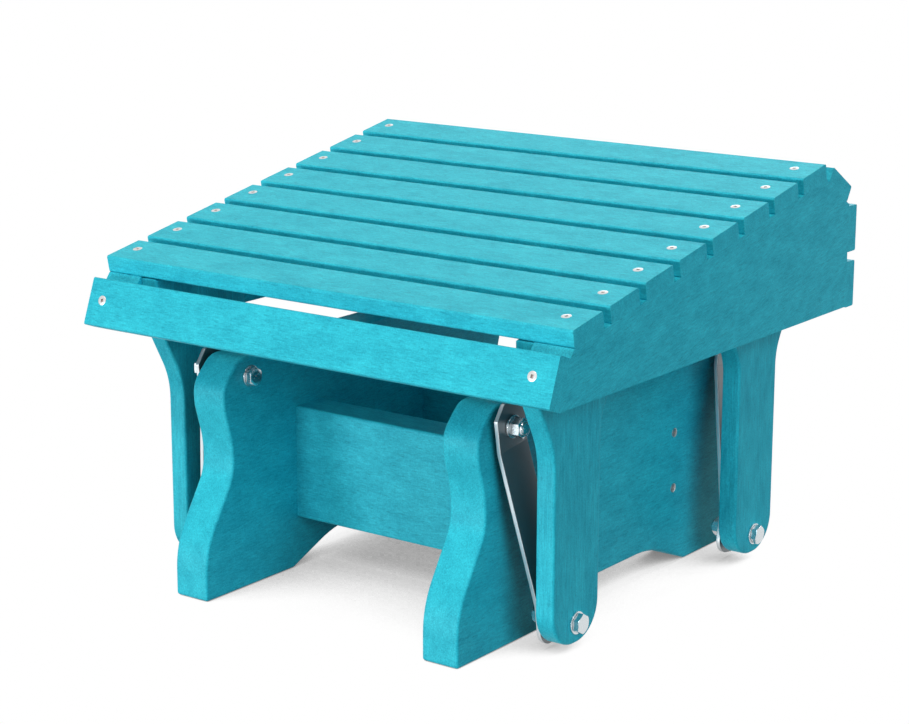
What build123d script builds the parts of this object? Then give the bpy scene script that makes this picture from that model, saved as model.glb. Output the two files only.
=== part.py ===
from build123d import *
import os
from math import atan2, asin, cos, degrees, hypot, radians, sin, tan

# Glider ottoman in recycled-plastic lumber.
# A low base of two curved sides and two stretchers stands on the floor. Four bent steel
# straps hang from it, and the slatted footrest is carried by their lower ends, so it swings
# forwards and backwards over the base.
#
# Millimetres. X runs along the slats, Y from the low front edge to the high back, Z up.
# While the pieces are made, Y = 0 is the middle of the base. At the end everything is moved
# so that the origin is the middle of the bounding box, on the floor.

# ---- Stock ----
thick_board = 38.0       # base sides and stretchers
rail_board = 40.0        # seat rails
thin_board = 19.0        # hangers
slat_thickness = 16.0
slat_width = 45.0
slat_length = 520.0      # overall width of the ottoman
board_rounding = 2.5     # routed edges of the base sides, stretchers and hangers
slat_rounding = 1.8      # routed long edges of the slats

# ---- Seat ----
seat_height = 241.0      # underside of the seat rails above the floor
seat_front = -245.0      # lower front corner of the seat rails
front_lean = 20.4        # degrees that the rails' front end leans back
apron_gap = 6.7          # from the apron's upper edge to the rails' upper corner
slat_count = 8
slat_gap = 10.7
first_slat_setback = 3.0
bevel_angle = 31.5       # degrees that the rails' rear corner falls
bevel_margin = 6.0       # bare rail before and after the slat on the bevel
back_slat_gap = 9.7
back_slat_overhang = 1.0  # lower back slat below the rails
back_slat_inset = 2.0    # bare rail above the upper back slat

# ---- Base ----
seat_clearance = 20.0    # from the top of the base sides to the seat rails
swing_gap = 39.0         # between a base side and a hanger, where the straps swing
toe_reach = 249.5        # from the middle of the base to the foot's end
toe_height = 49.0
waist_reach = 209.5      # to the narrowest part
waist_height = 127.0
waist_length = 28.0      # upright stretch of the waist
shoulder_reach = 220.5   # to the round shoulder that holds the upper bolt
shoulder_depth = 33.0    # from the top down to the middle of the shoulder
shoulder_length = 20.0   # upright stretch of the shoulder
arch_length = 250.0      # opening under the base side, at the floor
arch_height = 26.0
arch_slope = 22.0        # degrees
toe_radius = 89.0
waist_radius_low = 41.0
waist_radius_high = 87.0
shoulder_radius_low = 58.0
shoulder_radius_high = 26.0
top_radius = 22.0
arch_radius = 120.0
corner_radius = 3.0

stretcher_height = 110.0
stretcher_lift = 49.5    # from the floor to the stretchers' lower edge
stretcher_reach = 100.0  # from the middle of the base to the middle of a stretcher

# ---- Swing linkage ----
upper_pivot_reach = 184.4    # from the middle of the base to the upper bolts
upper_pivot_depth = 18.5     # upper bolts below the top of the base sides
lower_pivot_reach = 155.2
lower_pivot_height = 28.0
strap_width = 40.0
strap_thickness = 4.0
strap_end = 23.0             # strap past the bolt, at both ends
strap_clip = 12.0            # clipped corners of the upper end
strap_corner_radius = 2.0
strap_end_radius = 16.0      # rounded corners of the lower end
strap_bend_distance = 19.0   # from a bolt to the nearer bend
strap_bend_radius = 6.0
spacer_length = 5.5          # between a strap and the board that carries it

# ---- Hangers ----
hanger_width = 71.0
hanger_tip = 19.0            # below the lower bolt
hanger_tip_radius = 33.0
hanger_top_gap = 1.0         # between a hanger's top and the slats
hanger_flare = 18.0          # extra width on each side inside the seat
hanger_flare_drop = 38.0     # from the seat's underside down to where the flare starts
hanger_flare_rise = 32.0
hanger_flare_radius = 50.0
front_sweep = 32.0           # forward sweep of the front hangers' front edge
front_sweep_drop = 54.0
front_sweep_rise = 60.6
front_sweep_radius = 76.0
front_hanger_inset = 0.8     # behind the rails' upper front corner

# ---- Bolts, bushes and screws ----
bolt_diameter = 10.0
bolt_head_height = 6.4
hex_width = 16.0             # across the flats of heads and nuts
hex_bevel = 0.9              # turned-down corners of heads and nuts
rear_hex_turn = 14.0         # degrees that the rear heads and nuts happen to be turned
nut_height = 10.2
nut_collar_height = 1.8      # locking collar
nut_collar_diameter = 13.6
bolt_tip = 1.2               # bolt past its nut
washer_diameter = 20.5
washer_thickness = 2.0
bush_wall = 2.0
bush_flange_diameter = 26.0
screw_head_diameter = 9.0
screw_head_height = 2.4
screw_diameter = 4.8
screw_length = 42.0
screw_stand = 0.3            # head left proud of the board
screw_sides = 8              # few, because there are so many screws and holes
slat_screw_inset_left = 16.5
slat_screw_inset_right = 22.5
slat_screw_setback = 24.5    # from a slat's leading edge
stretcher_screw_spacing = 55.0
hanger_screw_spacing = 24.0
hanger_screw_height = 11.0   # lowest hanger screws above the seat's underside

# ---- Clearances ----
bolt_play = 0.25             # radial, bolts in boards and washers
bush_play = 0.05             # radial, bush on its bolt, strap on its bush, nut on its bolt
screw_play = 0.05            # radial, screws in their holes
side_play = 0.3              # along the bolt, strap to its neighbours
closing_play = 1.2           # radial, at the lower eyes of the rear straps

# ---- Places that follow ----
seat_half = slat_length / 2
rail_inner = seat_half - rail_board
hanger_inner = rail_inner - thin_board
base_outer = hanger_inner - swing_gap
base_inner = base_outer - thick_board
base_height = seat_height - seat_clearance
shoulder_height = base_height - shoulder_depth
upper_pivot_height = base_height - upper_pivot_depth


class RailEdge:
    """One straight edge of the seat rails' outline, in Y and Z, that slats lie on."""

    def __init__(self, start, angle, length):
        self.start = start
        self.angle = angle
        self.length = length

    def point(self, along, out=0.0):
        """The point so far along the edge and so far outside it."""
        turn = radians(self.angle)
        y = self.start[0] + along * cos(turn) - out * sin(turn)
        z = self.start[1] + along * sin(turn) + out * cos(turn)
        return (y, z)

    @property
    def end(self):
        return self.point(self.length)


# The rails' outline goes up the leaning front, along the slope, down the bevel and down the
# back. The slope is what joins the front's height to the back's over the slats' length.
top_length = first_slat_setback + slat_count * slat_width + (slat_count - 1) * slat_gap
bevel_length = slat_width + 2 * bevel_margin
back_length = 2 * slat_width + back_slat_gap + back_slat_inset - back_slat_overhang
front_edge = RailEdge((seat_front, seat_height), 90 - front_lean, slat_width + apron_gap)
peak_height = seat_height + back_length + bevel_length * sin(radians(bevel_angle))
seat_slope = degrees(asin((peak_height - front_edge.end[1]) / top_length))
top_edge = RailEdge(front_edge.end, seat_slope, top_length)
bevel_edge = RailEdge(top_edge.end, -bevel_angle, bevel_length)
back_edge = RailEdge(bevel_edge.end, -90, back_length)


def rounded_face(corners):
    """A face from (y, z, radius) corners, each radius limited by the sides beside it."""
    count = len(corners)
    radii = []
    for i, (y, z, radius) in enumerate(corners):
        before = (corners[i - 1][0] - y, corners[i - 1][1] - z)
        after = (corners[(i + 1) % count][0] - y, corners[(i + 1) % count][1] - z)
        turn = atan2(before[1], before[0]) - atan2(after[1], after[0])
        half_angle = abs((degrees(turn) + 180) % 360 - 180) / 2
        shorter = min(hypot(*before), hypot(*after))
        radii.append(min(radius, 0.49 * shorter * tan(radians(half_angle))))
    points = [(y, z) for y, z, radius in corners]
    return make_face(FilletPolyline(*points, radius=radii, close=True))


def board(face, x_start, thickness):
    """A board cut to a Y-Z face, from x_start towards +X, with both outlines routed round."""
    blank = Pos(x_start, 0, 0) * extrude(Plane.YZ * face, thickness)
    outlines = blank.edges().group_by(Axis.X)
    return fillet(outlines[0] + outlines[-1], min(board_rounding, thickness / 4))


def along_x(x, y, z):
    """The place of a round piece that is made along +Z, turned to lie along +X."""
    return Pos(x, y, z) * Rot(0, 90, 0)


def both_sides(shape):
    """A piece of the +X side and its mirror image."""
    return [shape, mirror(shape, about=Plane.YZ)]


# ---- Fasteners, made along +Z from Z = 0 ----
def hex_block(height, bevelled_end):
    """A hexagon, with the corners of its upper (1) or lower (-1) end turned down."""
    across_corners = hex_width / cos(radians(30))
    block = extrude(RegularPolygon(across_corners / 2, 6), height)
    turned = extrude(Circle(across_corners / 2), height)
    end = turned.edges().sort_by(Axis.Z)[-1 if bevelled_end > 0 else 0]
    return block & chamfer(end, hex_bevel, 2 * hex_bevel)


def ring(outer_diameter, inner_diameter, height):
    return extrude(Circle(outer_diameter / 2) - Circle(inner_diameter / 2), height)


def bolt(grip):
    """A hex bolt. Its head is below Z = 0, and the grip is what its nut leaves between."""
    head = Pos(0, 0, -bolt_head_height) * hex_block(bolt_head_height, -1)
    length = grip + nut_height + nut_collar_height + bolt_tip
    shank = extrude(Circle(bolt_diameter / 2), length)
    return head + chamfer(shank.edges().sort_by(Axis.Z)[-1], bolt_diameter / 10)


def lock_nut():
    """A hex nut with a round locking collar on its outer end."""
    height = nut_height + nut_collar_height
    collar = extrude(Circle(nut_collar_diameter / 2), height)
    bore = extrude(Circle(bolt_diameter / 2 + bush_play), height)
    return hex_block(nut_height, 1) + collar - bore


def washer():
    return ring(washer_diameter, bolt_diameter + 2 * bolt_play, washer_thickness)


def bush():
    """A flanged bush. The flange keeps the strap off the board, and the strap turns on it."""
    bore = bolt_diameter + 2 * bush_play
    flange = ring(bush_flange_diameter, bore, spacer_length - side_play)
    sleeve = ring(bolt_diameter + 2 * bush_wall, bore, spacer_length + strap_thickness + side_play)
    return flange + sleeve


def screw(play=0.0):
    """A countersunk screw with the board's face at Z = 0, or with some play the hole for it."""
    head = RegularPolygon(screw_head_diameter / 2 + play, screw_sides)
    shank = RegularPolygon(screw_diameter / 2 + play, screw_sides)
    neck = screw_stand - screw_head_height
    countersink = loft([Pos(0, 0, neck) * shank, Pos(0, 0, screw_stand) * head])
    length = screw_length - screw_head_height + play
    return countersink + Pos(0, 0, neck - length) * extrude(shank, length)


# ---- Where each screw goes: its place has +Z out of the head ----
def outward(edge, along, x):
    """A place on a slat that lies on the edge, with +Z out of the slat's face."""
    y, z = edge.point(along, slat_thickness)
    return Pos(x, y, z) * Rot(edge.angle, 0, 0)


slat_places = {"apron_slat": (front_edge, 0.0)}
for i in range(slat_count):
    start = first_slat_setback + i * (slat_width + slat_gap)
    slat_places[f"top_slat_{i + 1}"] = (top_edge, start)
slat_places["bevel_slat"] = (bevel_edge, bevel_margin)
slat_places["back_slat_upper"] = (back_edge, back_slat_inset)
slat_places["back_slat_lower"] = (back_edge, back_slat_inset + slat_width + back_slat_gap)

slat_screw_lines = (-seat_half + slat_screw_inset_left, seat_half - slat_screw_inset_right)


def slat_screw_places(edge, start):
    return [outward(edge, start + slat_screw_setback, x) for x in slat_screw_lines]


stretcher_middle = stretcher_lift + stretcher_height / 2
stretcher_screw_places = [
    Pos(side * base_outer, end * stretcher_reach, stretcher_middle)
    * Pos(0, 0, up * stretcher_screw_spacing / 2)
    * Rot(0, side * 90, 0)
    for side in (-1, 1)
    for end in (-1, 1)
    for up in (-1, 1)
]
hanger_screw_places = [
    Pos(side * hanger_inner, end * lower_pivot_reach, seat_height + hanger_screw_height)
    * Pos(0, across * hanger_screw_spacing / 2, up * hanger_screw_spacing)
    * Rot(0, -side * 90, 0)
    for side in (-1, 1)
    for end in (-1, 1)
    for across, up in ((-1, 0), (1, 0), (0, 1))
]


# ---- Base ----
def base_side_face():
    """The S-shaped side: foot, waist and round shoulder, the same at both ends, and an arch."""
    waist_low = waist_height - waist_length / 2
    waist_high = waist_height + waist_length / 2
    shoulder_low = shoulder_height - shoulder_length / 2
    shoulder_high = shoulder_height + shoulder_length / 2
    arch_run = arch_height / tan(radians(arch_slope))
    half = [
        (arch_length / 2 - arch_run, arch_height, arch_radius),
        (arch_length / 2, 0, corner_radius),
        (toe_reach, 0, corner_radius),
        (toe_reach, toe_height, toe_radius),
        (waist_reach, waist_low, waist_radius_low),
        (waist_reach, waist_high, waist_radius_high),
        (shoulder_reach, shoulder_low, shoulder_radius_low),
        (shoulder_reach, shoulder_high, shoulder_radius_high),
        (shoulder_reach + shoulder_high - base_height, base_height, top_radius),
    ]
    other_half = [(-y, z, radius) for y, z, radius in reversed(half)]
    return rounded_face(half + other_half)


def base_side():
    side = board(base_side_face(), base_inner, thick_board)
    bore = Cylinder(bolt_diameter / 2 + bolt_play, 4 * thick_board)
    for end in (-1, 1):
        side -= along_x(base_outer, end * upper_pivot_reach, upper_pivot_height) * bore
    return side


def stretcher(end):
    blank = Box(2 * base_inner, thick_board, stretcher_height)
    long_edges = blank.edges().filter_by(Axis.X)
    return Pos(0, end * stretcher_reach, stretcher_middle) * fillet(long_edges, board_rounding)


# ---- Swing straps ----
strap_lean = degrees(
    atan2(upper_pivot_reach - lower_pivot_reach, upper_pivot_height - lower_pivot_height)
)
strap_reach = hypot(
    upper_pivot_reach - lower_pivot_reach, upper_pivot_height - lower_pivot_height
)


def swing_strap(end):
    """A strap of the +X side, made hanging straight down from Z = 0 and then leaned.

    Its upper end lies against the base side's spacer and its lower end against the hanger's,
    so it is cranked outwards between two bends. The open pivot of the linkage is the lower
    eye of the rear straps, which has room for what the two arcs differ by.
    """
    middle = strap_thickness / 2
    upper_x = base_outer + spacer_length + middle
    lower_x = hanger_inner - spacer_length - middle
    lower_bend = strap_bend_distance - strap_reach
    path = FilletPolyline(
        (upper_x, 0, strap_end),
        (upper_x, 0, -strap_bend_distance),
        (lower_x, 0, lower_bend),
        (lower_x, 0, -strap_reach - strap_end),
        radius=strap_bend_radius,
    )
    across_path = Plane(origin=path @ 0, x_dir=(1, 0, 0), z_dir=path % 0)
    strap = sweep(across_path * Rectangle(strap_thickness, strap_width), path=path)
    half_width = strap_width / 2
    outline = rounded_face(
        [
            (-half_width, strap_end - strap_clip, strap_corner_radius),
            (strap_clip - half_width, strap_end, strap_corner_radius),
            (half_width - strap_clip, strap_end, strap_corner_radius),
            (half_width, strap_end - strap_clip, strap_corner_radius),
            (half_width, -strap_reach - strap_end, strap_end_radius),
            (-half_width, -strap_reach - strap_end, strap_end_radius),
        ]
    )
    strap &= extrude(Plane.YZ * outline, seat_half)
    eye = bolt_diameter / 2 + bush_wall + bush_play
    open_eye = bolt_diameter / 2 + bush_wall + closing_play
    strap -= along_x(upper_x, 0, 0) * Cylinder(eye, 4 * strap_thickness)
    lower_eye = Cylinder(open_eye if end > 0 else eye, 4 * strap_thickness)
    strap -= along_x(lower_x, 0, -strap_reach) * lower_eye
    return (
        Pos(0, end * upper_pivot_reach, upper_pivot_height) * Rot(-end * strap_lean, 0, 0) * strap
    )


# ---- Seat ----
def seat_rail():
    """A rail, with sawn edges, so that the slats lie flat on it all the way across.

    Its upper front corner is sawn off from the apron's upper edge to the first slat.
    """
    nose = [front_edge.point(slat_width), top_edge.point(first_slat_setback)]
    corners = [front_edge.start, *nose, bevel_edge.start, back_edge.start, back_edge.end]
    outline = make_face(Polyline(*corners, close=True))
    return Pos(rail_inner, 0, 0) * extrude(Plane.YZ * outline, rail_board)


def under_slats_face():
    """What lies below the slats, down to the floor, less the gap above the hangers."""
    front = top_edge.point(0, -hanger_top_gap)
    peak = top_edge.point(top_length, -hanger_top_gap)
    back = bevel_edge.point(bevel_length, -hanger_top_gap)
    return make_face(Polyline((front[0], 0), front, peak, back, (back[0], 0), close=True))


def hanger_face(end):
    """A hanger's outline: a round lower end and a flared top that the slats hide."""
    middle = end * lower_pivot_reach
    half = hanger_width / 2
    tip = lower_pivot_height - hanger_tip
    flare_start = seat_height - hanger_flare_drop
    flare_end = flare_start + hanger_flare_rise
    inner = [
        (middle - end * half, tip, hanger_tip_radius),
        (middle - end * half, flare_start, hanger_flare_radius),
        (middle - end * (half + hanger_flare), flare_end, hanger_flare_radius / 2),
        (middle - end * (half + hanger_flare), peak_height, 0),
    ]
    if end > 0:
        outer = [
            (middle + half + hanger_flare, peak_height, 0),
            (middle + half + hanger_flare, flare_end, hanger_flare_radius / 2),
            (middle + half, flare_start, hanger_flare_radius),
            (middle + half, tip, hanger_tip_radius),
        ]
    else:
        sweep_start = seat_height - front_sweep_drop
        sweep_end = sweep_start + front_sweep_rise
        outer = [
            (top_edge.start[0] + front_hanger_inset, peak_height, 0),
            (middle - half - front_sweep, sweep_end, front_sweep_radius),
            (middle - half, sweep_start, front_sweep_radius),
            (middle - half, tip, hanger_tip_radius),
        ]
    return rounded_face(inner + outer) & under_slats_face()


def hanger(end):
    plate = board(hanger_face(end), hanger_inner, thin_board)
    bore = Cylinder(bolt_diameter / 2 + bolt_play, 4 * thin_board)
    return plate - along_x(rail_inner, end * lower_pivot_reach, lower_pivot_height) * bore


def slat(edge, start):
    """A slat with routed long edges. Its ends are sawn off flush with the rails."""
    blank = Box(slat_length, slat_width, slat_thickness)
    blank = fillet(blank.edges().filter_by(Axis.X), slat_rounding)
    y, z = edge.point(start + slat_width / 2, slat_thickness / 2)
    return Pos(0, y, z) * Rot(edge.angle, 0, 0) * blank


# ---- Assembly: node name to its solids ----
nodes = {}


def add_pair(name, shape):
    """A piece of the +X side, which is the right-hand one, and its mirror image."""
    nodes[name + "_right"], nodes[name + "_left"] = both_sides(shape)


def add_group(name, solids):
    nodes[name] = Compound(solids)


def drill(name, places):
    """Cut a screw hole at each place in a node."""
    hole = screw(screw_play)
    for place in places:
        nodes[name] -= place * hole


add_pair("base_side", base_side())
add_pair("seat_rail", seat_rail())
for name, end in (("front", -1), ("rear", 1)):
    nodes["stretcher_" + name] = stretcher(end)
    add_pair("swing_strap_" + name, swing_strap(end))
    add_pair("hanger_" + name, hanger(end))
for name, (edge, start) in slat_places.items():
    nodes[name] = slat(edge, start)

slat_screw_groups = {name: slat_screw_places(*place) for name, place in slat_places.items()}
all_slat_screws = [place for group in slat_screw_groups.values() for place in group]
for name, places in slat_screw_groups.items():
    drill(name, places)
for side in ("_left", "_right"):
    drill("base_side" + side, stretcher_screw_places)
    drill("seat_rail" + side, all_slat_screws + hanger_screw_places)
    drill("hanger_front" + side, hanger_screw_places)
    drill("hanger_rear" + side, hanger_screw_places)
drill("stretcher_front", stretcher_screw_places)
drill("stretcher_rear", stretcher_screw_places)
add_group("stretcher_screws", [place * screw() for place in stretcher_screw_places])
add_group("slat_screws", [place * screw() for place in all_slat_screws])
add_group("hanger_screws", [place * screw() for place in hanger_screw_places])


def pivot_level(level, reach, height, head_x, way, wood):
    """The four bolts of one level, each with its washers, bush and nut on one axis.

    head_x is the face that the head's washer lies on, way is the bolt's direction along X
    on the +X side, and wood is the thickness of the board that the bolt passes through.
    """
    pieces = {"pivot_bolts_": [], "pivot_washers_": [], "pivot_bushes_": [], "lock_nuts_": []}
    far_washer = wood + spacer_length + strap_thickness + side_play
    nut_start = far_washer + washer_thickness
    for end in (-1, 1):
        axis = Pos(head_x, end * reach, height) * Rot(0, way * 90, 0)
        turned = Rot(0, 0, rear_hex_turn if end > 0 else 0)
        head = axis * Pos(0, 0, -washer_thickness)
        pieces["pivot_bolts_"] += both_sides(head * turned * bolt(nut_start + washer_thickness))
        pieces["pivot_washers_"] += both_sides(head * washer())
        pieces["pivot_washers_"] += both_sides(axis * Pos(0, 0, far_washer) * washer())
        pieces["pivot_bushes_"] += both_sides(axis * Pos(0, 0, wood) * bush())
        pieces["lock_nuts_"] += both_sides(axis * Pos(0, 0, nut_start) * turned * lock_nut())
    for name, solids in pieces.items():
        add_group(name + level, solids)


# The upper bolts point outwards from inside the base, and the lower bolts point inwards from
# outside the hangers.
pivot_level("upper", upper_pivot_reach, upper_pivot_height, base_inner, 1, thick_board)
pivot_level("lower", lower_pivot_reach, lower_pivot_height, rail_inner, -1, thin_board)

# ---- Written in the part's own frame ----
box = Compound(list(nodes.values())).bounding_box()
to_origin = Pos(-box.center().X, -box.center().Y, -box.min.Z)
os.makedirs("parts", exist_ok=True)
for name, shape in nodes.items():
    export_step(to_origin * shape, f"parts/{name}.step")

print("nodes:", len(nodes), "size:", [round(length, 2) for length in box.size])
print("seat slope:", round(seat_slope, 3), "strap reach:", round(strap_reach, 3))
print("middle of the base at Y:", round(-box.center().Y, 4))
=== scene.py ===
# %% [markdown]
# # A glider ottoman in recycled-plastic lumber
#
# The ottoman is a slatted footrest that hangs from a low base on four steel straps. Nearly all
# of it is one material: boards of dyed recycled plastic with a brushed, slightly mottled face.
# The rest is steel hardware with nylon bushes. The boards, straps, washers and bushes come from
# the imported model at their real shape, so here they get their finishes. The screws, bolts and
# nuts are turned and threaded pieces, and are built again below with the detail that the model
# leaves out.

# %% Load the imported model
import math
import random

import bmesh
import bpy
import numpy as np
from mathutils import Matrix, Vector


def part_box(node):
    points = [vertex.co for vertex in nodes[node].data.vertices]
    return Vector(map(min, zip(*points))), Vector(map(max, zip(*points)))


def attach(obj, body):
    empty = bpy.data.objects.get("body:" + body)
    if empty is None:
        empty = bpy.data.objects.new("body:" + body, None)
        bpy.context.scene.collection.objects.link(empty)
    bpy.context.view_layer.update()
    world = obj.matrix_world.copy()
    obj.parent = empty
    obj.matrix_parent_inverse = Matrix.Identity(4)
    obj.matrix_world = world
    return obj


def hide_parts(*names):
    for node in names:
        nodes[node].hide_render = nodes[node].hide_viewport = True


MM = 0.001
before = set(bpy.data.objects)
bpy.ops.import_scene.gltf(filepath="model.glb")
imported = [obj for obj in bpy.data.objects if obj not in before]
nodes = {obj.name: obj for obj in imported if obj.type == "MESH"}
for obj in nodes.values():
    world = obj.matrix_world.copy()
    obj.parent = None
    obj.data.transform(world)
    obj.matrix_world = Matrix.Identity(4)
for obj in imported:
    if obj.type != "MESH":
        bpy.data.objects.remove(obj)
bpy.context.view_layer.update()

# %% [markdown]
# Colours are easiest to judge as the sRGB hex values that a colour picker shows, but shaders
# work with linear light. One function turns the first into the second, so that every colour
# below can stay written as it looks.


# %% A colour written as it looks
def linear(hex_code):
    """An sRGB hex colour as the linear RGBA values that a shader socket takes."""
    channels = [int(hex_code[i : i + 2], 16) / 255 for i in (1, 3, 5)]
    return [c / 12.92 if c <= 0.04045 else ((c + 0.055) / 1.055) ** 2.4 for c in channels] + [1.0]


print("mid grey:", [round(c, 3) for c in linear("#808080")])

# %% [markdown]
# A node material is a small network. Adding a node always takes the same three steps: make it,
# set its options, and give each input either a value or the output of another node. One function
# does all three, and reads from the sources towards the shader.


# %% One function that adds any node
def add_node(tree, kind, inputs=None, **options):
    """Adds a node. Each entry of inputs, by socket name or number, is a value or an output."""
    node = tree.nodes.new(kind)
    for name, value in options.items():
        setattr(node, name, value)
    for key, value in (inputs or {}).items():
        socket = node.inputs[key]
        if isinstance(value, bpy.types.NodeSocket):
            tree.links.new(value, socket)
        else:
            socket.default_value = value
    return node


def new_material(name):
    """An empty node material with its principled shader."""
    material = bpy.data.materials.new(name)
    material.use_nodes = True
    return material, material.node_tree, material.node_tree.nodes["Principled BSDF"]


# %% [markdown]
# ## Recycled HDPE lumber
#
# The boards are high-density polyethylene from ground-up bottles, dyed through and extruded as
# planks. Rollers brush the skin along the plank, which leaves fine dashes of lighter and darker
# plastic, about a centimetre long, and a surface that is satin rather than glossy. Short dark
# scores lie among them, and larger soft clouds come from the uneven melt.
#
# A wood texture would be wrong, because there are no rings or knots. Four noises do it: dashes
# stretched along the plank, a fine speckle between them, wide clouds, and the sparse scores. The
# first three drive the colour and the roughness, and the finer two also a shallow bump, so that
# each dash catches the light. The scores only darken the colour. Every board is cut from another
# plank, so the pattern is shifted by a number that each object carries.

# %% Colours and sizes of the lumber's pattern
LUMBER_DEEP = "#1EA8BD"
LUMBER_PALE = "#40DEEC"
LUMBER_SCORED = "#0C7A90"
SHORT_DASH = 9 * MM
LONG_DASH = 26 * MM
DASH_WIDTH = 1.3 * MM
SPECKLE_SIZE = 1.4 * MM
CLOUD_LENGTH = 34 * MM
CLOUD_WIDTH = 15 * MM
SCORE_LENGTH = 7 * MM
SCORE_WIDTH = 0.9 * MM
FARTHEST_SHIFT = (3.1, 2.3, 4.7)
print("dashes:", round(SHORT_DASH / MM), "mm, and", round(LONG_DASH / MM), "mm on the hangers")


# %% Where a plank's pattern lies
def plank_place(tree, tilt):
    """A place on the board in metres, shifted by the board's own number and turned about X."""
    place = add_node(tree, "ShaderNodeTexCoord").outputs["Object"]
    number = add_node(tree, "ShaderNodeObjectInfo").outputs["Random"]
    shift = add_node(
        tree, "ShaderNodeVectorMath", {0: FARTHEST_SHIFT, "Scale": number}, operation="SCALE"
    )
    shifted = add_node(tree, "ShaderNodeVectorMath", {0: place, 1: shift.outputs[0]})
    turned = add_node(
        tree,
        "ShaderNodeVectorRotate",
        {"Vector": shifted.outputs[0], "Angle": -tilt},
        rotation_type="X_AXIS",
    )
    return turned.outputs[0]


# %% The four noises of a plank
FINE_DETAIL = 3.0
SOFT_DETAIL = 2.0
SCORE_DETAIL = 1.0
DETAIL_STRENGTH = 0.6


def plank_noises(tree, place, grain, dash_length):
    """The dashes, speckle, clouds and scores of a plank whose length is the axis grain."""
    noises = []
    for along, across, detail in (
        (dash_length, DASH_WIDTH, FINE_DETAIL),
        (SPECKLE_SIZE, SPECKLE_SIZE, SOFT_DETAIL),
        (CLOUD_LENGTH, CLOUD_WIDTH, SOFT_DETAIL),
        (SCORE_LENGTH, SCORE_WIDTH, SCORE_DETAIL),
    ):
        repeats = [1 / (along if axis == grain else across) for axis in range(3)]
        stretched = add_node(
            tree, "ShaderNodeVectorMath", {0: place, 1: repeats}, operation="MULTIPLY"
        )
        settings = {"Scale": 1.0, "Detail": detail, "Roughness": DETAIL_STRENGTH}
        noise = add_node(
            tree, "ShaderNodeTexNoise", {"Vector": stretched.outputs[0], **settings}
        )
        noises.append(noise.outputs["Fac"])
    return noises


# %% How strongly the noises show
DASH_SHARE = 0.38
SPECKLE_SHARE = 0.34
CLOUD_SHARE = 0.28
DEEPEST_AT = 0.34
PALEST_AT = 0.66
SCORES_START = 0.6
SCORES_FULL = 0.78
SCORE_DEPTH = 0.45
ROUGHEST_AT = 0.3
SMOOTHEST_AT = 0.7
ROUGHEST = 0.56
SMOOTHEST = 0.44
BRUSHED_RELIEF = 0.25 * MM
RELIEF_STRENGTH = 0.6
HDPE_IOR = 1.54
PITTED_SHINE = 0.16
shares = DASH_SHARE + SPECKLE_SHARE + CLOUD_SHARE
print("shares of dashes, speckle and clouds add up to", round(shares, 3))


# %% The colour of a plank
def plank_colour(tree, pattern, scores):
    """Pale and deep plastic by the pattern, and the scores darker over both."""
    contrast = add_node(
        tree,
        "ShaderNodeMapRange",
        {"Value": pattern, "From Min": DEEPEST_AT, "From Max": PALEST_AT},
    )
    colour = add_node(
        tree,
        "ShaderNodeMix",
        {"Factor": contrast.outputs[0], 6: linear(LUMBER_DEEP), 7: linear(LUMBER_PALE)},
        data_type="RGBA",
    )
    scored = add_node(
        tree,
        "ShaderNodeMapRange",
        {
            "Value": scores,
            "From Min": SCORES_START,
            "From Max": SCORES_FULL,
            "To Max": SCORE_DEPTH,
        },
    )
    worn = add_node(
        tree,
        "ShaderNodeMix",
        {"Factor": scored.outputs[0], 6: colour.outputs[2], 7: linear(LUMBER_SCORED)},
        data_type="RGBA",
    )
    return worn.outputs[2]


# %% The lumber, with its dashes along one axis
def recycled_lumber(name, grain, dash_length, tilt=0.0):
    """Brushed recycled HDPE. grain is 0, 1 or 2 for X, Y or Z, and tilt turns it about X."""
    material, tree, shader = new_material(name)
    place = plank_place(tree, tilt)
    dashes, speckle, clouds, scores = plank_noises(tree, place, grain, dash_length)
    fine = add_node(tree, "ShaderNodeMath", {0: dashes, 1: DASH_SHARE}, operation="MULTIPLY")
    mottle = add_node(
        tree,
        "ShaderNodeMath",
        {0: speckle, 1: SPECKLE_SHARE, 2: fine.outputs[0]},
        operation="MULTIPLY_ADD",
    )
    pattern = add_node(
        tree,
        "ShaderNodeMath",
        {0: clouds, 1: CLOUD_SHARE, 2: mottle.outputs[0]},
        operation="MULTIPLY_ADD",
    ).outputs[0]
    satin = add_node(
        tree,
        "ShaderNodeMapRange",
        {
            "Value": pattern,
            "From Min": ROUGHEST_AT,
            "From Max": SMOOTHEST_AT,
            "To Min": ROUGHEST,
            "To Max": SMOOTHEST,
        },
    )
    relief = add_node(
        tree,
        "ShaderNodeBump",
        {"Height": mottle.outputs[0], "Strength": RELIEF_STRENGTH, "Distance": BRUSHED_RELIEF},
    )
    tree.links.new(plank_colour(tree, pattern, scores), shader.inputs["Base Color"])
    tree.links.new(satin.outputs[0], shader.inputs["Roughness"])
    tree.links.new(relief.outputs[0], shader.inputs["Normal"])
    shader.inputs["IOR"].default_value = HDPE_IOR
    shader.inputs["Specular IOR Level"].default_value = PITTED_SHINE
    return material


# %% [markdown]
# The dashes follow each plank's length: along X on slats and stretchers, along Y on the base
# sides, upright on the hangers, and up the slope of the footrest on its rails. The hangers' plank
# was brushed in longer strokes than the others. The slope is read from the model, as the rise from
# the first slat to the last over the run between them.

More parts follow.
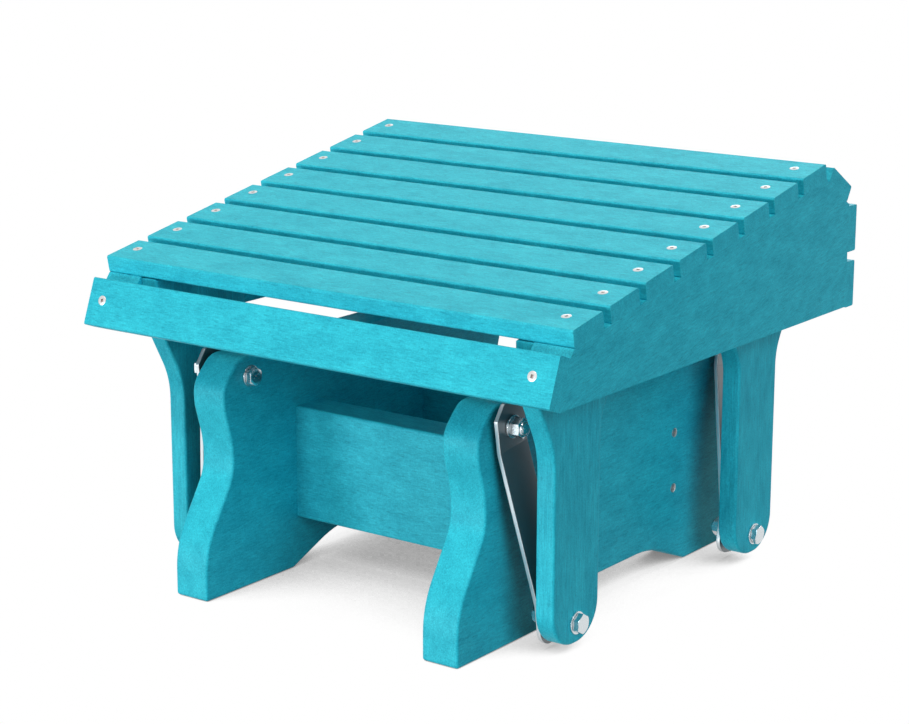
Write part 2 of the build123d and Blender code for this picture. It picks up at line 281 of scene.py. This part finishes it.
# %% One lumber material for each way that a plank lies
first_slat = sum(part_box("top_slat_1"), Vector()) / 2
last_slat = sum(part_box("top_slat_8"), Vector()) / 2
rise = last_slat - first_slat
seat_slope = math.atan2(rise.z, rise.y)
lumber_along_slats = recycled_lumber("brushed_hdpe_lumber_crosswise", 0, SHORT_DASH)
lumber_along_base = recycled_lumber("brushed_hdpe_lumber_lengthwise", 1, SHORT_DASH)
lumber_upright = recycled_lumber("brushed_hdpe_lumber_upright", 2, LONG_DASH)
lumber_along_rails = recycled_lumber("brushed_hdpe_lumber_sloping", 1, SHORT_DASH, seat_slope)
lumber_of = {
    "base_side": lumber_along_base,
    "seat_rail": lumber_along_rails,
    "hanger_front": lumber_upright,
    "hanger_rear": lumber_upright,
    "stretcher_front": lumber_along_slats,
    "stretcher_rear": lumber_along_slats,
}
print("seat slope:", round(math.degrees(seat_slope), 2), "degrees")

# %% [markdown]
# ## Plated and stainless steel
#
# The straps and bolts are mild steel with a bright zinc plating, and the screws are stainless.
# Both are bare metal to the eye: metallic 1, a light neutral colour and a low roughness. Zinc
# plating is never even. It dulls in soft patches, and the straps, sheared from rolled flat bar,
# also keep faint lines along their length. The punched recess of a screw is rougher than its
# head, and is painted a little darker as the shade inside it. The grain of a screw head is too
# fine to show, so it is drawn at about a millimetre. A metal keeps the shader's own IOR.

# %% A bare metal with a patchy shine
PATCH_DETAIL = 3.0
PATCH_SOFTNESS = 0.55
SHINIEST_AT = 0.3
DULLEST_AT = 0.7
SHINIEST_SHARE = 0.85
DULLEST_SHARE = 1.2
PATCH_RELIEF = 0.3


def bare_metal(name, colour, sizes, roughness, relief):
    """A metal whose roughness varies over a pattern of the given sizes along X, Y and Z."""
    material, tree, shader = new_material(name)
    place = add_node(tree, "ShaderNodeTexCoord").outputs["Object"]
    stretched = add_node(
        tree,
        "ShaderNodeVectorMath",
        {0: place, 1: [1 / size for size in sizes]},
        operation="MULTIPLY",
    )
    settings = {"Scale": 1.0, "Detail": PATCH_DETAIL, "Roughness": PATCH_SOFTNESS}
    patches = add_node(
        tree, "ShaderNodeTexNoise", {"Vector": stretched.outputs[0], **settings}
    ).outputs["Fac"]
    dulled = add_node(
        tree,
        "ShaderNodeMapRange",
        {
            "Value": patches,
            "From Min": SHINIEST_AT,
            "From Max": DULLEST_AT,
            "To Min": roughness * SHINIEST_SHARE,
            "To Max": roughness * DULLEST_SHARE,
        },
    )
    bump = add_node(
        tree, "ShaderNodeBump", {"Height": patches, "Strength": PATCH_RELIEF, "Distance": relief}
    )
    tree.links.new(dulled.outputs[0], shader.inputs["Roughness"])
    tree.links.new(bump.outputs[0], shader.inputs["Normal"])
    shader.inputs["Base Color"].default_value = linear(colour)
    shader.inputs["Metallic"].default_value = 1.0
    return material


# %% The four metals of the hardware
# The strap faces' colour is painted dark as the shade that they reflect.
STRAP_FACE_PAINTED_SHADE = "#7C8184"
ROLLING_LINE_LENGTH = 60 * MM
ROLLING_LINE_WIDTH = 0.8 * MM
ZINC_PATCH = 3.0 * MM
STAINLESS_PATCH = 1.2 * MM
RECESS_PATCH = 0.6 * MM
zinc_plated_steel = bare_metal(
    "bright_zinc_plated_steel",
    "#D3DADD",
    sizes=[ZINC_PATCH] * 3,
    roughness=0.24,
    relief=0.004 * MM,
)
rolled_zinc_plated_bar = bare_metal(
    "rolled_zinc_plated_bar",
    STRAP_FACE_PAINTED_SHADE,
    sizes=[ROLLING_LINE_WIDTH, ROLLING_LINE_WIDTH, ROLLING_LINE_LENGTH],
    roughness=0.4,
    relief=0.003 * MM,
)
stainless_steel = bare_metal(
    "stainless_screw_steel",
    "#D6D6D5",
    sizes=[STAINLESS_PATCH] * 3,
    roughness=0.3,
    relief=0.02 * MM,
)
# The recess is rougher than the head, and its colour is painted darker as the shade inside it.
recess_steel_painted_shade = bare_metal(
    "recess_steel_painted_shade", "#B4A8A4", sizes=[RECESS_PATCH] * 3, roughness=0.6, relief=0.05 * MM
)
print("zinc dulls in patches of about", round(ZINC_PATCH / MM), "mm")

# %% [markdown]
# A strap's broad faces are painted dark, as the shade that they reflect, and its narrow edges
# are painted bright, as a highlight. The faces look along X on the object, so the size of the
# normal's X tells one from the other, also round the small bevels.

# %% Strap faces painted dark as shade, and edges painted bright as a highlight
# The strap edges' colour is painted bright as a highlight.
STRAP_EDGE_PAINTED_HIGHLIGHT = "#D2D7D9"
EDGE_FACING = 0.3
FLAT_FACING = 0.6
bar_tree = rolled_zinc_plated_bar.node_tree
facing = add_node(bar_tree, "ShaderNodeTexCoord").outputs["Normal"]
sideways = add_node(bar_tree, "ShaderNodeSeparateXYZ", {0: facing}).outputs["X"]
either_way = add_node(bar_tree, "ShaderNodeMath", {0: sideways}, operation="ABSOLUTE")
flat = add_node(
    bar_tree,
    "ShaderNodeMapRange",
    {"Value": either_way.outputs[0], "From Min": EDGE_FACING, "From Max": FLAT_FACING},
)
# Dark faces as painted shade and bright edges as a painted highlight, told apart by the normal.
painted_shade_and_highlight = add_node(
    bar_tree,
    "ShaderNodeMix",
    {"Factor": flat.outputs[0], 6: linear(STRAP_EDGE_PAINTED_HIGHLIGHT), 7: linear(STRAP_FACE_PAINTED_SHADE)},
    data_type="RGBA",
)
bar_shader = bar_tree.nodes["Principled BSDF"]
bar_tree.links.new(painted_shade_and_highlight.outputs[2], bar_shader.inputs["Base Color"])
print("strap faces", STRAP_FACE_PAINTED_SHADE, "and edges", STRAP_EDGE_PAINTED_HIGHLIGHT)

# %% [markdown]
# ## Moulded nylon
#
# The bushes that the straps turn on are black nylon, and the rings in the lock nuts are the
# undyed white kind. Nylon comes out of the mould with a fine matt skin. Its grit is far too fine
# to show, so here it is drawn at half a millimetre.

# %% Nylon, black for the bushes and undyed for the nut rings
GRIT_SIZE = 0.5 * MM
GRIT_HEIGHT = 0.02 * MM
GRIT_STRENGTH = 0.4
NYLON_IOR = 1.53


def moulded_nylon(name, colour, roughness):
    """Nylon with the fine matt grit of its mould."""
    material, tree, shader = new_material(name)
    place = add_node(tree, "ShaderNodeTexCoord").outputs["Object"]
    grit = add_node(tree, "ShaderNodeTexNoise", {"Vector": place, "Scale": 1 / GRIT_SIZE})
    bump = add_node(
        tree,
        "ShaderNodeBump",
        {"Height": grit.outputs["Fac"], "Strength": GRIT_STRENGTH, "Distance": GRIT_HEIGHT},
    )
    tree.links.new(bump.outputs[0], shader.inputs["Normal"])
    shader.inputs["Base Color"].default_value = linear(colour)
    shader.inputs["Roughness"].default_value = roughness
    shader.inputs["IOR"].default_value = NYLON_IOR
    return material


black_nylon = moulded_nylon("black_moulded_nylon", "#1E2023", roughness=0.5)
undyed_nylon = moulded_nylon("undyed_moulded_nylon", "#E6E1D3", roughness=0.45)
print("materials so far:", len(bpy.data.materials))

# %% [markdown]
# ## Finishes on the model's own pieces
#
# A node of the model keeps its mesh, and only its material slot changes. The straps, washers and
# bushes have dead sharp edges there. Real sheared and moulded edges are a little round, and that
# thin line is what catches the light, so those get a small bevel as a modifier. Two more come
# before it: a weld joins the vertices which the file keeps apart, and a flattening takes away the
# edges across flat faces, which would hold the bevel far too narrow. The bushes' bevel stays
# under the side play of 0.3 mm, because in the corner of their flange it fills a little.


# %% Which finish each node gets
def finish_of(name):
    """The material of a CAD node, by its name."""
    for start, material in lumber_of.items():
        if name.startswith(start):
            return material
    if name.startswith("swing_strap"):
        return rolled_zinc_plated_bar
    if name.startswith("pivot_bushes"):
        return black_nylon
    if name.startswith(("pivot_", "lock_nuts")):
        return zinc_plated_steel
    if name.endswith("screws"):
        return stainless_steel
    return lumber_along_slats


# %% Round the sharp edges of the straps, washers and bushes
SAME_PLACE = 0.001 * MM
FLAT_ANGLE = 0.5
SHARP_ANGLE = 40
BEVEL_STEPS = 2


def soften_edges(node, width):
    """Rounds the sharp edges of a node by modifiers."""
    weld = node.modifiers.new("weld", "WELD")
    weld.merge_threshold = SAME_PLACE
    flatten = node.modifiers.new("flatten", "DECIMATE")
    flatten.decimate_type = "DISSOLVE"
    flatten.angle_limit = math.radians(FLAT_ANGLE)
    bevel = node.modifiers.new("edge", "BEVEL")
    bevel.width = width
    bevel.segments = BEVEL_STEPS
    bevel.limit_method = "ANGLE"
    bevel.angle_limit = math.radians(SHARP_ANGLE)


# %% Finish and soften the model's pieces
EDGE_WIDTHS = {"swing_strap": 0.5 * MM, "pivot_washers": 0.3 * MM, "pivot_bushes": 0.25 * MM}
for name, node in nodes.items():
    node.material_slots[0].material = finish_of(name)
    for start, width in EDGE_WIDTHS.items():
        if name.startswith(start):
            soften_edges(node, width)
print("finishes:", sorted({node.material_slots[0].material.name for node in nodes.values()}))

# %% [markdown]
# ## Turned pieces
#
# Screws, bolts, nuts and their nylon rings are all stacks of rings about one axis. What differs
# is each ring's radius, and how that radius changes round the axis: a circle for a shank, a
# hexagon for a head, a square for a drive recess, and a slow ramp for a screw thread. So one
# function builds them all from a list of heights and radii.

# %% A mesh from rings of any radius
TURNED_SIDES = 72


def add_turned(mesh, place, levels, ring_closed=False, recess_from=None):
    """Adds a turned piece to a bmesh at a place. Each level is a height and a radius, which may
    be a function of the angle. A closed one has a hole through it, and otherwise both ends are
    filled. Faces above the level numbered recess_from take the second material."""
    rings = []
    for height, radius in levels:
        ring = []
        for i in range(TURNED_SIDES):
            angle = 2 * math.pi * i / TURNED_SIDES
            r = radius(angle) if callable(radius) else radius
            corner = place @ Vector((r * math.cos(angle), r * math.sin(angle), height))
            ring.append(mesh.verts.new(corner))
        rings.append(ring)
    pairs = list(zip(rings, rings[1:]))
    if ring_closed:
        pairs.append((rings[-1], rings[0]))
    for number, (lower, upper) in enumerate(pairs):
        for i in range(TURNED_SIDES):
            j = (i + 1) % TURNED_SIDES
            face = mesh.faces.new((lower[i], lower[j], upper[j], upper[i]))
            face.material_index = int(recess_from is not None and number >= recess_from)
    if not ring_closed:
        mesh.faces.new(list(reversed(rings[0])))
        mesh.faces.new(rings[-1]).material_index = int(recess_from is not None)


# %% Radii that change round the axis
def hexagon(width, turned_to=None):
    """The radius of a hexagon by its width across flats, with its corners turned down."""

    def radius(angle):
        off_flat = (angle + math.pi / 6) % (math.pi / 3) - math.pi / 6
        hexagon_radius = width / 2 / math.cos(off_flat)
        return min(hexagon_radius, turned_to) if turned_to else hexagon_radius

    return radius


def square(width):
    """The radius of a square by its width."""

    def radius(angle):
        return width / 2 / max(abs(math.cos(angle)), abs(math.sin(angle)))

    return radius


# %% Turn a finished bmesh into a piece on a body
SMOOTH_ANGLE = 35


def piece_from(mesh, name, body, materials, replaced):
    """Makes a piece from a bmesh. It rides on a body, and may replace a CAD node."""
    bmesh.ops.recalc_face_normals(mesh, faces=mesh.faces)
    for edge in mesh.edges:
        edge.smooth = edge.calc_face_angle(0.0) < math.radians(SMOOTH_ANGLE)
    for face in mesh.faces:
        face.smooth = True
    data = bpy.data.meshes.new(name)
    mesh.to_mesh(data)
    mesh.free()
    for material in materials:
        data.materials.append(material)
    piece = bpy.data.objects.new(name, data)
    bpy.context.scene.collection.objects.link(piece)
    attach(piece, body)
    if replaced:
        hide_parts(replaced)
    print(name, "on", body, "with", len(data.polygons), "faces")


# %% [markdown]
# Each fastener goes exactly where the model has it. The model keeps alike fasteners as loose
# solids of one node, so they are taken apart again, and each one tells where its head is, which
# way it points and, on a hexagon, where its corners are.


# %% Take a node of fasteners apart
def loose_solids(name):
    """The vertices of each separate solid of a CAD node, as arrays."""
    mesh = bmesh.new()
    mesh.from_mesh(nodes[name].data)
    bmesh.ops.remove_doubles(mesh, verts=mesh.verts, dist=SAME_PLACE)
    seen = set()
    solids = []
    for start in mesh.verts:
        if start in seen:
            continue
        seen.add(start)
        waiting = [start]
        for vertex in waiting:
            for edge in vertex.link_edges:
                other = edge.other_vert(vertex)
                if other not in seen:
                    seen.add(other)
                    waiting.append(other)
        solids.append(np.array([vertex.co[:] for vertex in waiting]))
    mesh.free()
    return solids


# %% Where each fastener is, and which way it points
def fastener_places(name, axis=None):
    """Each fastener's place, with +Z out of its wide end, +X to its widest corner and the origin
    on that end's face, and its length. The axis is its longest direction if none is given."""
    found = []
    for points in loose_solids(name):
        if axis is None:
            middle = points.mean(0)
            way = np.linalg.svd(points - middle)[2][0]
        else:
            middle = (points.min(0) + points.max(0)) / 2
            way = axis
        along = (points - middle) @ way
        across = points - middle - np.outer(along, way)
        radius = np.linalg.norm(across, axis=1)
        widest = int(np.argmax(radius))
        if along[widest] < (along.max() + along.min()) / 2:
            way = -way
            along = -along
        corner = across[widest] / radius[widest]
        out = Vector(way)
        x_axis = (Vector(corner) - out * out.dot(Vector(corner))).normalized()
        turned = Matrix((x_axis, out.cross(x_axis), out)).transposed().to_4x4()
        origin = Vector(middle + way * along.max())
        found.append((Matrix.Translation(origin) @ turned, float(along.max() - along.min())))
    return found


# %% [markdown]
# ## Deck screws
#
# The boards are held by flat-headed stainless screws, about 9 mm across the head, with a square
# recess that the driver fits. The head stands a hair above the board. The recess is cut as real
# rings that go down into the head, a little narrower at each, and has its own duller finish,
# painted a little darker as the shade inside it. Each screw stops at its own angle, and the tip is
# a point.

# %% A screw's levels, from its tip up and down into its recess
SCREW_HEAD = 9.0 * MM
SCREW_HEAD_HEIGHT = 2.4 * MM
SCREW_RIM = 0.25 * MM
RIM_TAPER = 0.05 * MM
RIM_ROUNDING = 0.3 * MM
SCREW_SHANK = 4.8 * MM
POINT_LENGTH = 5.0 * MM
POINT_RADIUS = 0.15 * MM
RECESS_WIDTH = 2.7 * MM
RECESS_DEPTH = 1.5 * MM
RECESS_LIP = 0.2 * MM
RECESS_TAPER = 0.3 * MM
RECESS_LEVEL = 6


def screw_levels(length):
    """Levels of a screw. Its recess starts at the level numbered RECESS_LEVEL."""
    return [
        (-length, POINT_RADIUS),
        (POINT_LENGTH - length, SCREW_SHANK / 2),
        (-SCREW_HEAD_HEIGHT, SCREW_SHANK / 2),
        (-SCREW_RIM, SCREW_HEAD / 2 - RIM_TAPER),
        (-SCREW_RIM / 2, SCREW_HEAD / 2),
        (0, SCREW_HEAD / 2 - RIM_ROUNDING),
        (0, square(RECESS_WIDTH + RECESS_TAPER)),
        (-RECESS_LIP, square(RECESS_WIDTH)),
        (-RECESS_DEPTH, square(RECESS_WIDTH - RECESS_TAPER)),
    ]


# %% Build the screws
draw = random.Random(8)
screw_steel = [stainless_steel, recess_steel_painted_shade]
screw_bodies = {"slat_screws": "seat", "hanger_screws": "seat", "stretcher_screws": "base"}
for name, body in screw_bodies.items():
    mesh = bmesh.new()
    for place, length in fastener_places(name):
        turned = place @ Matrix.Rotation(draw.uniform(0, math.pi / 2), 4, "Z")
        add_turned(mesh, turned, screw_levels(length), recess_from=RECESS_LEVEL)
    piece_from(mesh, "deck_" + name, body, screw_steel, name)

# %% [markdown]
# ## Pivot bolts, lock nuts and their nylon rings
#
# Eight hex bolts carry the swing. A forged head has its corners turned down by a cone, which
# leaves the curved lines that show on every flat, and a low washer face under it. The thread is
# a real helix: its radius climbs and falls once for each pitch along the shank, and shows where
# the bolt comes out of its nut. A coiled curve swept round the shank could give a thread too, but
# it would be a second surface stuck on the first, and this way bolt and thread are one solid.

# %% The turned-down corners of a hexagon
HEX_WIDTH = 16.0 * MM
END_FACE_SHARE = 0.94
CORNER_SLOPE = 28
CORNER_STEPS = 8
across_corners = HEX_WIDTH / math.cos(math.pi / 6)
corner_bevel = (across_corners - HEX_WIDTH * END_FACE_SHARE) / 2
bevel_drop = corner_bevel * math.tan(math.radians(CORNER_SLOPE))
print("corners turned down by", round(bevel_drop / MM, 2), "mm")


def turned_down(end, away):
    """Levels of a hexagon's turned-down corners, from the body to its end face at a height.

    away is -1 where the body lies below the end face, and 1 where it lies above."""
    levels = []
    for step in range(CORNER_STEPS + 1):
        share = step / CORNER_STEPS
        radius = across_corners / 2 - corner_bevel * share
        levels.append((end + away * bevel_drop * (1 - share), hexagon(HEX_WIDTH, radius)))
    return levels


# %% A bolt's levels, with its thread
BOLT_DIAMETER = 10.0 * MM
THREAD_PITCH = 1.5 * MM
THREAD_DEPTH = 0.8 * MM
THREAD_LENGTH = 18 * MM
THREAD_END = 0.5 * MM
STEPS_PER_TURN = 8
TIP_HEIGHT = 0.6 * MM
TIP_TAPER = 1.2 * MM
HEAD_HEIGHT = 6.4 * MM
WASHER_FACE_RADIUS = HEX_WIDTH / 2 * 0.95
WASHER_FACE_HEIGHT = 0.35 * MM
END_CENTRE_RADIUS = HEX_WIDTH / 2 * 0.6


def threaded(height):
    """The radius of a thread by the angle, at a height along the shank."""

    def radius(angle):
        phase = (height / THREAD_PITCH - angle / (2 * math.pi)) % 1
        return BOLT_DIAMETER / 2 - THREAD_DEPTH * abs(2 * phase - 1)

    return radius


def bolt_levels(length):
    """Levels of a bolt from its tip, below, to its head's end face at height 0."""
    tip = -length
    levels = [(tip, BOLT_DIAMETER / 2 - TIP_TAPER)]
    steps = int(THREAD_LENGTH / THREAD_PITCH * STEPS_PER_TURN)
    for step in range(steps + 1):
        height = tip + TIP_HEIGHT + (THREAD_LENGTH - TIP_HEIGHT) * step / steps
        levels.append((height, threaded(height)))
    levels += [
        (tip + THREAD_LENGTH + THREAD_END, BOLT_DIAMETER / 2),
        (-HEAD_HEIGHT, BOLT_DIAMETER / 2),
        (-HEAD_HEIGHT, WASHER_FACE_RADIUS),
        (-HEAD_HEIGHT + WASHER_FACE_HEIGHT, WASHER_FACE_RADIUS),
        (-HEAD_HEIGHT + WASHER_FACE_HEIGHT, hexagon(HEX_WIDTH)),
    ]
    levels += turned_down(0.0, -1)
    levels.append((0.0, END_CENTRE_RADIUS))
    return levels


# %% Build the bolts
ALONG_X = np.array([1.0, 0.0, 0.0])
CORNER_TO_FLAT = Matrix.Rotation(math.pi / 6, 4, "Z")
level_bodies = {"upper": "base", "lower": "seat"}
for level, body in level_bodies.items():
    mesh = bmesh.new()
    for place, length in fastener_places("pivot_bolts_" + level, ALONG_X):
        add_turned(mesh, place @ CORNER_TO_FLAT, bolt_levels(length))
    name = level + "_pivot_bolts"
    replaced = "pivot_bolts_" + level
    piece_from(mesh, name, body, [zinc_plated_steel], replaced)

# %% [markdown]
# A plain nut would shake loose on a joint that swings. A lock nut is turned down at its outer end
# to a round collar, and a nylon ring in that collar grips the thread. The nut is one closed loop
# of rings, up its outside and back down its bore, so that it has a real hole for the bolt. The
# nylon is a smaller loop, which sits in the collar with a hair of play.

# %% A lock nut's levels, and its ring's
BORE_RADIUS = BOLT_DIAMETER / 2 + 0.05 * MM
COLLAR_RADIUS = 13.6 * MM / 2
COLLAR_HEIGHT = 1.8 * MM
COLLAR_BEND = 0.5 * MM
COLLAR_SOFTENING = 0.15 * MM
RING_SEAT_RADIUS = 5.9 * MM
RING_SEAT_DEPTH = 3.0 * MM
SEAT_LIP = 0.4 * MM
LIP_OVERHANG = 0.3 * MM
LIP_ROUNDING = 0.1 * MM
RING_END = 0.45 * MM
RING_PLAY = 0.02 * MM


def nut_levels(length):
    """Levels of a lock nut round a closed loop: up its outside and back down its bore.

    Height 0 is the wide end, which lies on the washer, and the collar is at -length."""
    hexagon_end = COLLAR_HEIGHT - length
    levels = [(0.0, WASHER_FACE_RADIUS)]
    levels += reversed(turned_down(0.0, -1))
    levels += turned_down(hexagon_end, 1)
    levels += [
        (hexagon_end, COLLAR_RADIUS),
        (COLLAR_BEND - length, COLLAR_RADIUS),
        (COLLAR_SOFTENING - length, COLLAR_RADIUS - COLLAR_SOFTENING),
        (-length, COLLAR_RADIUS - COLLAR_BEND),
        (-length, RING_SEAT_RADIUS + LIP_ROUNDING),
        (SEAT_LIP - length, RING_SEAT_RADIUS - LIP_OVERHANG),
        (SEAT_LIP - length, RING_SEAT_RADIUS),
        (RING_SEAT_DEPTH - length, RING_SEAT_RADIUS),
        (RING_SEAT_DEPTH - length, BORE_RADIUS),
        (0.0, BORE_RADIUS),
    ]
    return levels


def ring_levels(length):
    """Levels of the nylon ring in a nut: down its outside and back up its bore."""
    return [
        (RING_SEAT_DEPTH - length, RING_SEAT_RADIUS - RING_PLAY),
        (RING_END - length, RING_SEAT_RADIUS - RING_PLAY),
        (RING_END - length, BOLT_DIAMETER / 2 + RING_PLAY),
        (RING_SEAT_DEPTH - length, BOLT_DIAMETER / 2 + RING_PLAY),
    ]


# %% Build the lock nuts and their rings
for level, body in level_bodies.items():
    nuts = bmesh.new()
    rings = bmesh.new()
    for place, length in fastener_places("lock_nuts_" + level, ALONG_X):
        add_turned(nuts, place @ CORNER_TO_FLAT, nut_levels(length), ring_closed=True)
        add_turned(rings, place, ring_levels(length), ring_closed=True)
    name = level + "_lock_nuts"
    replaced = "lock_nuts_" + level
    piece_from(nuts, name, body, [zinc_plated_steel], replaced)
    piece_from(rings, level + "_lock_nut_rings", body, [undyed_nylon], None)

# %% [markdown]
# ## Floor and backdrop
#
# The ottoman stands in a white studio. Making it white with more light would burn out the
# object, so the whiteness is in what the camera sees: seen directly or in a reflection, the
# world is plain white and the floor is a plain white glow. The soft shadow under the object
# comes from how open the floor is: the glow is full where little stands over it and falls to
# a fifth where nearly everything is closed off.
#
# For the light that bounces about, the floor is a matt mid grey, which keeps the shade under the
# seat deep, and the world adds only a faint blue. Two of the lights come from just below the
# horizon, so the floor casts no shadow of its own.


# %% What is seen directly
def seen_directly(tree):
    """1 for camera rays, and for reflections and refractions of the surroundings."""
    rays = add_node(tree, "ShaderNodeLightPath").outputs
    two = add_node(
        tree,
        "ShaderNodeMath",
        {0: rays["Is Camera Ray"], 1: rays["Is Glossy Ray"]},
        operation="MAXIMUM",
    )
    return add_node(
        tree,
        "ShaderNodeMath",
        {0: two.outputs[0], 1: rays["Is Transmission Ray"]},
        operation="MAXIMUM",
    ).outputs[0]


# %% The floor's material
SHADOW_REACH = 0.6
CLOSED_OFF = 0.03
FULLY_OPEN = 0.3
DEEPEST_SHADOW = 0.2
OPENNESS_SAMPLES = 16
FLOOR_BOUNCE = "#7C7C7C"
FLOOR_ROUGHNESS = 0.9

floor_material, floor_tree, matt_grey = new_material("white_studio_floor")
matt_grey.inputs["Base Color"].default_value = linear(FLOOR_BOUNCE)
matt_grey.inputs["Roughness"].default_value = FLOOR_ROUGHNESS
matt_grey.inputs["Specular IOR Level"].default_value = 0.0
openness = add_node(
    floor_tree,
    "ShaderNodeAmbientOcclusion",
    {"Distance": SHADOW_REACH},
    samples=OPENNESS_SAMPLES,
).outputs["AO"]
shadow = add_node(
    floor_tree,
    "ShaderNodeMapRange",
    {"Value": openness, "From Min": CLOSED_OFF, "From Max": FULLY_OPEN, "To Min": DEEPEST_SHADOW},
)
glow = add_node(floor_tree, "ShaderNodeEmission", {"Strength": shadow.outputs[0]})
surface = add_node(
    floor_tree,
    "ShaderNodeMixShader",
    {0: seen_directly(floor_tree), 1: matt_grey.outputs[0], 2: glow.outputs[0]},
)
floor_output = floor_tree.nodes["Material Output"]
floor_tree.links.new(surface.outputs[0], floor_output.inputs["Surface"])
print("the floor's openness is measured over", SHADOW_REACH, "m")

# %% The floor
FLOOR_HALF = 6.0
FLOOR_DROP = 0.3 * MM
corners = [(-1, -1), (1, -1), (1, 1), (-1, 1)]
floor_data = bpy.data.meshes.new("floor")
floor_points = [(x * FLOOR_HALF, y * FLOOR_HALF, -FLOOR_DROP) for x, y in corners]
floor_data.from_pydata(floor_points, [], [(0, 1, 2, 3)])
floor_data.materials.append(floor_material)
floor = bpy.data.objects.new("floor", floor_data)
bpy.context.scene.collection.objects.link(floor)
floor.visible_shadow = False
print("floor:", 2 * FLOOR_HALF, "m wide")

# %% The world, white to the eye and faintly blue as light
AMBIENT = {"Color": linear("#C8E9FF"), "Strength": 0.05}
WHITE = {"Color": linear("#FFFFFF"), "Strength": 1.0}

world = bpy.data.worlds.new("white_studio")
world.use_nodes = True
world_tree = world.node_tree
world_tree.nodes.clear()
lit = add_node(world_tree, "ShaderNodeBackground", AMBIENT)
seen = add_node(world_tree, "ShaderNodeBackground", WHITE)
both = add_node(
    world_tree,
    "ShaderNodeMixShader",
    {0: seen_directly(world_tree), 1: lit.outputs[0], 2: seen.outputs[0]},
)
add_node(world_tree, "ShaderNodeOutputWorld", {"Surface": both.outputs[0]})
bpy.context.scene.world = world
print("ambient light:", AMBIENT["Strength"])

# %% [markdown]
# ## Light
#
# Six soft lights stand far off, as windows and white panels would in a bright room. A high one
# lights the slats. Two low ones in front light the apron and reach under the seat, as far as the
# stretcher. One behind and above lights the slats from the other side, and two broad ones fill
# the back and the right side, the latter tinted a little by the boards' own teal. Each has the
# direction towards it, a colour, a strength and a spread in degrees. A far light keeps its angle
# and strength over the whole object, which a near panel wouldn't.

# %% Six soft lights
LIGHTS = {
    "high_window": (Vector((-0.15, -0.48, 0.86)), "#FFEFE6", 1.38, 20),
    "low_left_window": (Vector((-0.50, -0.86, -0.08)), "#ECF8FF", 1.0, 18),
    "low_window": (Vector((-0.06, -0.99, -0.08)), "#ECF8FF", 0.93, 18),
    "back_light": (Vector((0.10, 0.70, 0.71)), "#FFFFFF", 1.3, 20),
    "back_fill": (Vector((-0.35, 0.93, 0.10)), "#ECF8FF", 0.8, 40),
    "side_fill": (Vector((0.83, -0.36, 0.42)), "#B4F0FF", 1.24, 40),
}


def add_soft_light(name, direction, colour, strength, spread):
    """Adds a far light. Its direction points towards it, and its spread is in degrees."""
    data = bpy.data.lights.new(name, "SUN")
    data.color = linear(colour)[:3]
    data.energy = strength
    data.angle = math.radians(spread)
    lamp = bpy.data.objects.new(name, data)
    lamp.rotation_euler = direction.to_track_quat("Z", "Y").to_euler()
    bpy.context.scene.collection.objects.link(lamp)


for name, values in LIGHTS.items():
    add_soft_light(name, *values)
print("lights:", ", ".join(LIGHTS))

# %% [markdown]
# ## Camera
#
# The camera stands in front and to the right, a little above the seat, with the long lens of a
# product photograph. Its angles were solved from the edges of the boards. The Standard view
# transform shows each colour as it is written.

# %% Camera
CAMERA_PLACE = Vector((1.26874, -1.76384, 0.72849))
CAMERA_AZIMUTH = 36.325
CAMERA_ELEVATION = 13.761
CAMERA_ROLL = 0.083
CAMERA_LENS = 92.71
SENSOR_WIDTH = 36.0

camera_data = bpy.data.cameras.new("camera")
camera_data.lens = CAMERA_LENS
camera_data.sensor_width = SENSOR_WIDTH
camera_data.sensor_fit = "HORIZONTAL"
camera = bpy.data.objects.new("camera", camera_data)
turn = Matrix.Rotation(math.radians(CAMERA_AZIMUTH), 4, "Z")
turn @= Matrix.Rotation(math.radians(90 - CAMERA_ELEVATION), 4, "X")
turn @= Matrix.Rotation(math.radians(CAMERA_ROLL), 4, "Z")
camera.matrix_world = Matrix.Translation(CAMERA_PLACE) @ turn
bpy.context.scene.collection.objects.link(camera)
bpy.context.scene.camera = camera
bpy.context.scene.view_settings.view_transform = "Standard"
print("camera:", CAMERA_LENS, "mm lens,", round(CAMERA_PLACE.length, 2), "m from the origin")
